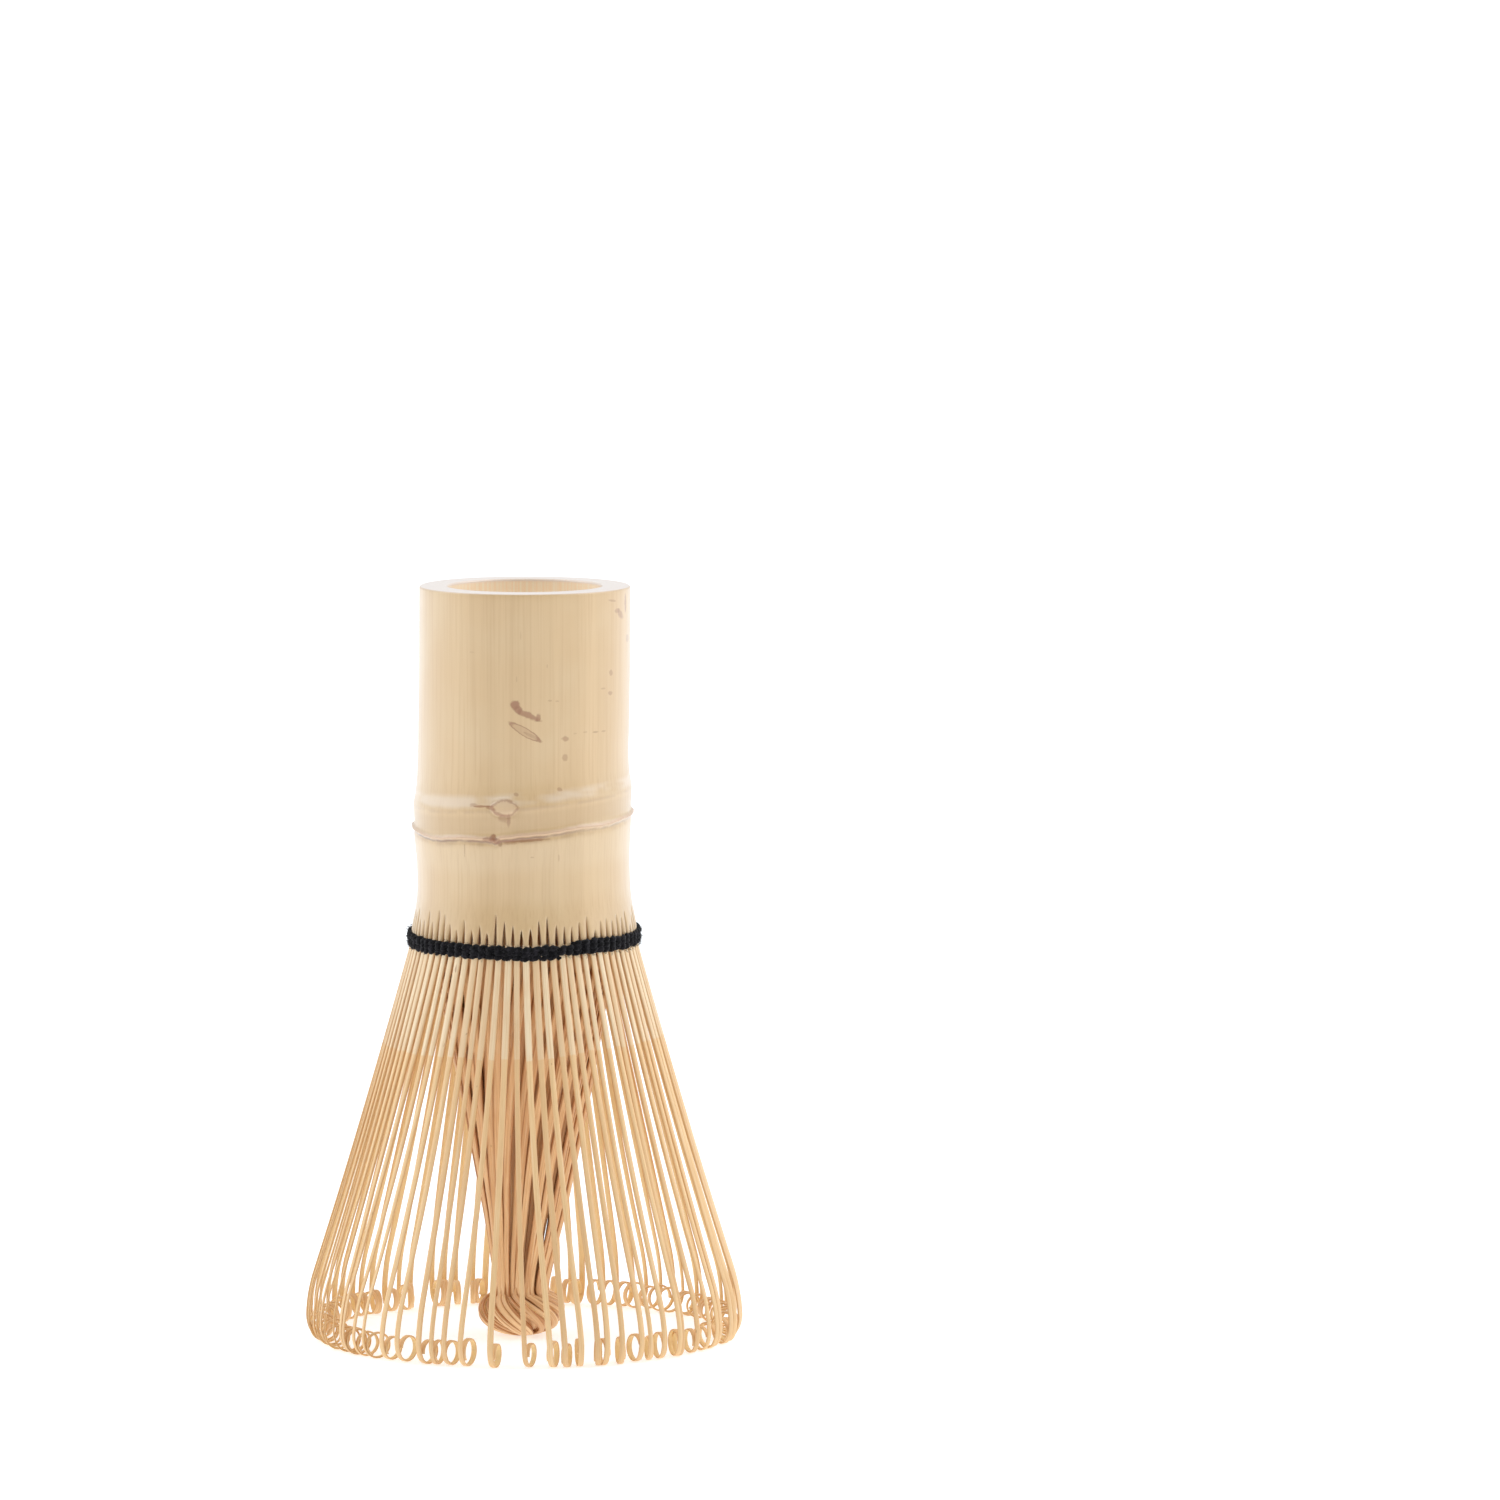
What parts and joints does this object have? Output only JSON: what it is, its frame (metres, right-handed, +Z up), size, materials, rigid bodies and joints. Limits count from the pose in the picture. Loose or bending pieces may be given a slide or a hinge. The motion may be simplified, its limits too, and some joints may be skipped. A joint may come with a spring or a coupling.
{
  "type": "bamboo tea whisk",
  "caption": "Tea whisk cut from one bamboo culm: tubular handle with a node, thread-bound ring of fine outer tines with curled tips, and inner tines drawn in to a knot.",
  "frame": {"origin": "on the surface the whisk stands on, under the axis of its handle", "axes": "+Z up along the handle towards its open rim, -Y the front, +X to the front's right"},
  "size_m": [0.064, 0.064, 0.11],
  "materials": {
    "culm_bamboo": "satin",
    "outer_tine_bamboo": "satin",
    "inner_tine_bamboo": "satin",
    "cotton_thread": "matte"
  },
  "bodies": {
    "handle": {"culm_handle": "culm_bamboo", "thread_outer_turn": "cotton_thread", "thread_inner_turn": "cotton_thread"},
    "tines_01": {"outer_tines_01": "outer_tine_bamboo"},
    "tines_02": {"outer_tines_02": "outer_tine_bamboo"},
    "tines_03": {"outer_tines_03": "outer_tine_bamboo"},
    "tines_04": {"outer_tines_04": "outer_tine_bamboo"},
    "tines_05": {"outer_tines_05": "outer_tine_bamboo"},
    "tines_06": {"outer_tines_06": "outer_tine_bamboo"},
    "tines_07": {"outer_tines_07": "outer_tine_bamboo"},
    "tines_08": {"outer_tines_08": "outer_tine_bamboo"},
    "tines_09": {"outer_tines_09": "outer_tine_bamboo"},
    "tines_10": {"outer_tines_10": "outer_tine_bamboo"},
    "tines_11": {"outer_tines_11": "outer_tine_bamboo"},
    "tines_12": {"outer_tines_12": "outer_tine_bamboo"},
    "tines_13": {"outer_tines_13": "outer_tine_bamboo"},
    "tines_14": {"outer_tines_14": "outer_tine_bamboo"},
    "tines_15": {"outer_tines_15": "outer_tine_bamboo"},
    "tines_16": {"outer_tines_16": "outer_tine_bamboo"},
    "tines_17": {"outer_tines_17": "outer_tine_bamboo"},
    "tines_18": {"outer_tines_18": "outer_tine_bamboo"},
    "tines_19": {"outer_tines_19": "outer_tine_bamboo"},
    "tines_20": {"outer_tines_20": "outer_tine_bamboo"},
    "tines_21": {"outer_tines_21": "outer_tine_bamboo"},
    "tines_22": {"outer_tines_22": "outer_tine_bamboo"},
    "tines_23": {"outer_tines_23": "outer_tine_bamboo"},
    "tines_24": {"outer_tines_24": "outer_tine_bamboo"},
    "tines_25": {"outer_tines_25": "outer_tine_bamboo"},
    "tines_26": {"outer_tines_26": "outer_tine_bamboo"},
    "tines_27": {"outer_tines_27": "outer_tine_bamboo"},
    "tines_28": {"outer_tines_28": "outer_tine_bamboo"},
    "tines_29": {"outer_tines_29": "outer_tine_bamboo"},
    "tines_30": {"outer_tines_30": "outer_tine_bamboo"},
    "tines_31": {"outer_tines_31": "outer_tine_bamboo"},
    "tines_32": {"outer_tines_32": "outer_tine_bamboo"},
    "tines_33": {"outer_tines_33": "outer_tine_bamboo"},
    "tines_34": {"outer_tines_34": "outer_tine_bamboo"},
    "tines_35": {"outer_tines_35": "outer_tine_bamboo"},
    "tines_36": {"outer_tines_36": "outer_tine_bamboo"},
    "tines_37": {"outer_tines_37": "outer_tine_bamboo"},
    "tines_38": {"outer_tines_38": "outer_tine_bamboo"},
    "tines_39": {"outer_tines_39": "outer_tine_bamboo"},
    "tines_40": {"outer_tines_40": "outer_tine_bamboo"},
    "tuft": {"inner_tines_01": "inner_tine_bamboo", "inner_tines_02": "inner_tine_bamboo", "inner_tines_03": "inner_tine_bamboo", "inner_tines_04": "inner_tine_bamboo", "inner_tines_05": "inner_tine_bamboo", "inner_tines_06": "inner_tine_bamboo", "inner_tines_07": "inner_tine_bamboo", "inner_tines_08": "inner_tine_bamboo", "inner_tines_09": "inner_tine_bamboo", "inner_tines_10": "inner_tine_bamboo", "inner_tines_11": "inner_tine_bamboo", "inner_tines_12": "inner_tine_bamboo", "inner_tines_13": "inner_tine_bamboo", "inner_tines_14": "inner_tine_bamboo", "inner_tines_15": "inner_tine_bamboo", "inner_tines_16": "inner_tine_bamboo", "inner_tine_knot": "inner_tine_bamboo"}
  },
  "joints": [
    {"name": "right_flex_01", "type": "hinge", "parent": "handle", "child": "tines_01", "pos_m": [0.01585, 0.00125, 0.0587], "axis": [0.0785, -0.9969, 0], "range_deg": [-8, 10], "stiffness_Nm_per_rad": 0.006},
    {"name": "right_flex_02", "type": "hinge", "parent": "handle", "child": "tines_02", "pos_m": [0.01546, 0.00371, 0.0587], "axis": [0.2334, -0.9724, 0], "range_deg": [-8, 10], "stiffness_Nm_per_rad": 0.006},
    {"name": "right_flex_03", "type": "hinge", "parent": "handle", "child": "tines_03", "pos_m": [0.01469, 0.00608, 0.0587], "axis": [0.3827, -0.9239, 0], "range_deg": [-8, 10], "stiffness_Nm_per_rad": 0.006},
    {"name": "right_flex_04", "type": "hinge", "parent": "handle", "child": "tines_04", "pos_m": [0.01356, 0.00831, 0.0587], "axis": [0.5225, -0.8526, 0], "range_deg": [-8, 10], "stiffness_Nm_per_rad": 0.006},
    {"name": "right_flex_05", "type": "hinge", "parent": "handle", "child": "tines_05", "pos_m": [0.01209, 0.01033, 0.0587], "axis": [0.6494, -0.7604, 0], "range_deg": [-8, 10], "stiffness_Nm_per_rad": 0.006},
    {"name": "back_flex_06", "type": "hinge", "parent": "handle", "child": "tines_06", "pos_m": [0.01033, 0.01209, 0.0587], "axis": [0.7604, -0.6494, 0], "range_deg": [-8, 10], "stiffness_Nm_per_rad": 0.006},
    {"name": "back_flex_07", "type": "hinge", "parent": "handle", "child": "tines_07", "pos_m": [0.00831, 0.01356, 0.0587], "axis": [0.8526, -0.5225, 0], "range_deg": [-8, 10], "stiffness_Nm_per_rad": 0.006},
    {"name": "back_flex_08", "type": "hinge", "parent": "handle", "child": "tines_08", "pos_m": [0.00608, 0.01469, 0.0587], "axis": [0.9239, -0.3827, 0], "range_deg": [-8, 10], "stiffness_Nm_per_rad": 0.006},
    {"name": "back_flex_09", "type": "hinge", "parent": "handle", "child": "tines_09", "pos_m": [0.00371, 0.01546, 0.0587], "axis": [0.9724, -0.2334, 0], "range_deg": [-8, 10], "stiffness_Nm_per_rad": 0.006},
    {"name": "back_flex_10", "type": "hinge", "parent": "handle", "child": "tines_10", "pos_m": [0.00125, 0.01585, 0.0587], "axis": [0.9969, -0.0785, 0], "range_deg": [-8, 10], "stiffness_Nm_per_rad": 0.006},
    {"name": "back_flex_11", "type": "hinge", "parent": "handle", "child": "tines_11", "pos_m": [-0.00125, 0.01585, 0.0587], "axis": [0.9969, 0.0785, 0], "range_deg": [-8, 10], "stiffness_Nm_per_rad": 0.006},
    {"name": "back_flex_12", "type": "hinge", "parent": "handle", "child": "tines_12", "pos_m": [-0.00371, 0.01546, 0.0587], "axis": [0.9724, 0.2334, 0], "range_deg": [-8, 10], "stiffness_Nm_per_rad": 0.006},
    {"name": "back_flex_13", "type": "hinge", "parent": "handle", "child": "tines_13", "pos_m": [-0.00608, 0.01469, 0.0587], "axis": [0.9239, 0.3827, 0], "range_deg": [-8, 10], "stiffness_Nm_per_rad": 0.006},
    {"name": "back_flex_14", "type": "hinge", "parent": "handle", "child": "tines_14", "pos_m": [-0.00831, 0.01356, 0.0587], "axis": [0.8526, 0.5225, 0], "range_deg": [-8, 10], "stiffness_Nm_per_rad": 0.006},
    {"name": "back_flex_15", "type": "hinge", "parent": "handle", "child": "tines_15", "pos_m": [-0.01033, 0.01209, 0.0587], "axis": [0.7604, 0.6494, 0], "range_deg": [-8, 10], "stiffness_Nm_per_rad": 0.006},
    {"name": "left_flex_16", "type": "hinge", "parent": "handle", "child": "tines_16", "pos_m": [-0.01209, 0.01033, 0.0587], "axis": [0.6494, 0.7604, 0], "range_deg": [-8, 10], "stiffness_Nm_per_rad": 0.006},
    {"name": "left_flex_17", "type": "hinge", "parent": "handle", "child": "tines_17", "pos_m": [-0.01356, 0.00831, 0.0587], "axis": [0.5225, 0.8526, 0], "range_deg": [-8, 10], "stiffness_Nm_per_rad": 0.006},
    {"name": "left_flex_18", "type": "hinge", "parent": "handle", "child": "tines_18", "pos_m": [-0.01469, 0.00608, 0.0587], "axis": [0.3827, 0.9239, 0], "range_deg": [-8, 10], "stiffness_Nm_per_rad": 0.006},
    {"name": "left_flex_19", "type": "hinge", "parent": "handle", "child": "tines_19", "pos_m": [-0.01546, 0.00371, 0.0587], "axis": [0.2334, 0.9724, 0], "range_deg": [-8, 10], "stiffness_Nm_per_rad": 0.006},
    {"name": "left_flex_20", "type": "hinge", "parent": "handle", "child": "tines_20", "pos_m": [-0.01585, 0.00125, 0.0587], "axis": [0.0785, 0.9969, 0], "range_deg": [-8, 10], "stiffness_Nm_per_rad": 0.006},
    {"name": "left_flex_21", "type": "hinge", "parent": "handle", "child": "tines_21", "pos_m": [-0.01585, -0.00125, 0.0587], "axis": [-0.0785, 0.9969, 0], "range_deg": [-8, 10], "stiffness_Nm_per_rad": 0.006},
    {"name": "left_flex_22", "type": "hinge", "parent": "handle", "child": "tines_22", "pos_m": [-0.01546, -0.00371, 0.0587], "axis": [-0.2334, 0.9724, 0], "range_deg": [-8, 10], "stiffness_Nm_per_rad": 0.006},
    {"name": "left_flex_23", "type": "hinge", "parent": "handle", "child": "tines_23", "pos_m": [-0.01469, -0.00608, 0.0587], "axis": [-0.3827, 0.9239, 0], "range_deg": [-8, 10], "stiffness_Nm_per_rad": 0.006},
    {"name": "left_flex_24", "type": "hinge", "parent": "handle", "child": "tines_24", "pos_m": [-0.01356, -0.00831, 0.0587], "axis": [-0.5225, 0.8526, 0], "range_deg": [-8, 10], "stiffness_Nm_per_rad": 0.006},
    {"name": "left_flex_25", "type": "hinge", "parent": "handle", "child": "tines_25", "pos_m": [-0.01209, -0.01033, 0.0587], "axis": [-0.6494, 0.7604, 0], "range_deg": [-8, 10], "stiffness_Nm_per_rad": 0.006},
    {"name": "front_flex_26", "type": "hinge", "parent": "handle", "child": "tines_26", "pos_m": [-0.01033, -0.01209, 0.0587], "axis": [-0.7604, 0.6494, 0], "range_deg": [-8, 10], "stiffness_Nm_per_rad": 0.006},
    {"name": "front_flex_27", "type": "hinge", "parent": "handle", "child": "tines_27", "pos_m": [-0.00831, -0.01356, 0.0587], "axis": [-0.8526, 0.5225, 0], "range_deg": [-8, 10], "stiffness_Nm_per_rad": 0.006},
    {"name": "front_flex_28", "type": "hinge", "parent": "handle", "child": "tines_28", "pos_m": [-0.00608, -0.01469, 0.0587], "axis": [-0.9239, 0.3827, 0], "range_deg": [-8, 10], "stiffness_Nm_per_rad": 0.006},
    {"name": "front_flex_29", "type": "hinge", "parent": "handle", "child": "tines_29", "pos_m": [-0.00371, -0.01546, 0.0587], "axis": [-0.9724, 0.2334, 0], "range_deg": [-8, 10], "stiffness_Nm_per_rad": 0.006},
    {"name": "front_flex_30", "type": "hinge", "parent": "handle", "child": "tines_30", "pos_m": [-0.00125, -0.01585, 0.0587], "axis": [-0.9969, 0.0785, 0], "range_deg": [-8, 10], "stiffness_Nm_per_rad": 0.006},
    {"name": "front_flex_31", "type": "hinge", "parent": "handle", "child": "tines_31", "pos_m": [0.00125, -0.01585, 0.0587], "axis": [-0.9969, -0.0785, 0], "range_deg": [-8, 10], "stiffness_Nm_per_rad": 0.006},
    {"name": "front_flex_32", "type": "hinge", "parent": "handle", "child": "tines_32", "pos_m": [0.00371, -0.01546, 0.0587], "axis": [-0.9724, -0.2334, 0], "range_deg": [-8, 10], "stiffness_Nm_per_rad": 0.006},
    {"name": "front_flex_33", "type": "hinge", "parent": "handle", "child": "tines_33", "pos_m": [0.00608, -0.01469, 0.0587], "axis": [-0.9239, -0.3827, 0], "range_deg": [-8, 10], "stiffness_Nm_per_rad": 0.006},
    {"name": "front_flex_34", "type": "hinge", "parent": "handle", "child": "tines_34", "pos_m": [0.00831, -0.01356, 0.0587], "axis": [-0.8526, -0.5225, 0], "range_deg": [-8, 10], "stiffness_Nm_per_rad": 0.006},
    {"name": "front_flex_35", "type": "hinge", "parent": "handle", "child": "tines_35", "pos_m": [0.01033, -0.01209, 0.0587], "axis": [-0.7604, -0.6494, 0], "range_deg": [-8, 10], "stiffness_Nm_per_rad": 0.006},
    {"name": "right_flex_36", "type": "hinge", "parent": "handle", "child": "tines_36", "pos_m": [0.01209, -0.01033, 0.0587], "axis": [-0.6494, -0.7604, 0], "range_deg": [-8, 10], "stiffness_Nm_per_rad": 0.006},
    {"name": "right_flex_37", "type": "hinge", "parent": "handle", "child": "tines_37", "pos_m": [0.01356, -0.00831, 0.0587], "axis": [-0.5225, -0.8526, 0], "range_deg": [-8, 10], "stiffness_Nm_per_rad": 0.006},
    {"name": "right_flex_38", "type": "hinge", "parent": "handle", "child": "tines_38", "pos_m": [0.01469, -0.00608, 0.0587], "axis": [-0.3827, -0.9239, 0], "range_deg": [-8, 10], "stiffness_Nm_per_rad": 0.006},
    {"name": "right_flex_39", "type": "hinge", "parent": "handle", "child": "tines_39", "pos_m": [0.01546, -0.00371, 0.0587], "axis": [-0.2334, -0.9724, 0], "range_deg": [-8, 10], "stiffness_Nm_per_rad": 0.006},
    {"name": "right_flex_40", "type": "hinge", "parent": "handle", "child": "tines_40", "pos_m": [0.01585, -0.00125, 0.0587], "axis": [-0.0785, -0.9969, 0], "range_deg": [-8, 10], "stiffness_Nm_per_rad": 0.006},
    {"name": "tuft_sway", "type": "hinge", "parent": "handle", "child": "tuft", "pos_m": [0, 0, 0.0587], "axis": [0, 1, 0], "range_deg": [-3, 3], "stiffness_Nm_per_rad": 0.05}
  ],
  "couplings": [
    {"joint": "right_flex_02", "follows": "right_flex_01", "ratio": 1},
    {"joint": "right_flex_03", "follows": "right_flex_01", "ratio": 1},
    {"joint": "right_flex_04", "follows": "right_flex_01", "ratio": 1},
    {"joint": "right_flex_05", "follows": "right_flex_01", "ratio": 1},
    {"joint": "back_flex_07", "follows": "back_flex_06", "ratio": 1},
    {"joint": "back_flex_08", "follows": "back_flex_06", "ratio": 1},
    {"joint": "back_flex_09", "follows": "back_flex_06", "ratio": 1},
    {"joint": "back_flex_10", "follows": "back_flex_06", "ratio": 1},
    {"joint": "back_flex_11", "follows": "back_flex_06", "ratio": 1},
    {"joint": "back_flex_12", "follows": "back_flex_06", "ratio": 1},
    {"joint": "back_flex_13", "follows": "back_flex_06", "ratio": 1},
    {"joint": "back_flex_14", "follows": "back_flex_06", "ratio": 1},
    {"joint": "back_flex_15", "follows": "back_flex_06", "ratio": 1},
    {"joint": "left_flex_17", "follows": "left_flex_16", "ratio": 1},
    {"joint": "left_flex_18", "follows": "left_flex_16", "ratio": 1},
    {"joint": "left_flex_19", "follows": "left_flex_16", "ratio": 1},
    {"joint": "left_flex_20", "follows": "left_flex_16", "ratio": 1},
    {"joint": "left_flex_21", "follows": "left_flex_16", "ratio": 1},
    {"joint": "left_flex_22", "follows": "left_flex_16", "ratio": 1},
    {"joint": "left_flex_23", "follows": "left_flex_16", "ratio": 1},
    {"joint": "left_flex_24", "follows": "left_flex_16", "ratio": 1},
    {"joint": "left_flex_25", "follows": "left_flex_16", "ratio": 1},
    {"joint": "front_flex_27", "follows": "front_flex_26", "ratio": 1},
    {"joint": "front_flex_28", "follows": "front_flex_26", "ratio": 1},
    {"joint": "front_flex_29", "follows": "front_flex_26", "ratio": 1},
    {"joint": "front_flex_30", "follows": "front_flex_26", "ratio": 1},
    {"joint": "front_flex_31", "follows": "front_flex_26", "ratio": 1},
    {"joint": "front_flex_32", "follows": "front_flex_26", "ratio": 1},
    {"joint": "front_flex_33", "follows": "front_flex_26", "ratio": 1},
    {"joint": "front_flex_34", "follows": "front_flex_26", "ratio": 1},
    {"joint": "front_flex_35", "follows": "front_flex_26", "ratio": 1},
    {"joint": "right_flex_36", "follows": "right_flex_01", "ratio": 1},
    {"joint": "right_flex_37", "follows": "right_flex_01", "ratio": 1},
    {"joint": "right_flex_38", "follows": "right_flex_01", "ratio": 1},
    {"joint": "right_flex_39", "follows": "right_flex_01", "ratio": 1},
    {"joint": "right_flex_40", "follows": "right_flex_01", "ratio": 1}
  ]
}
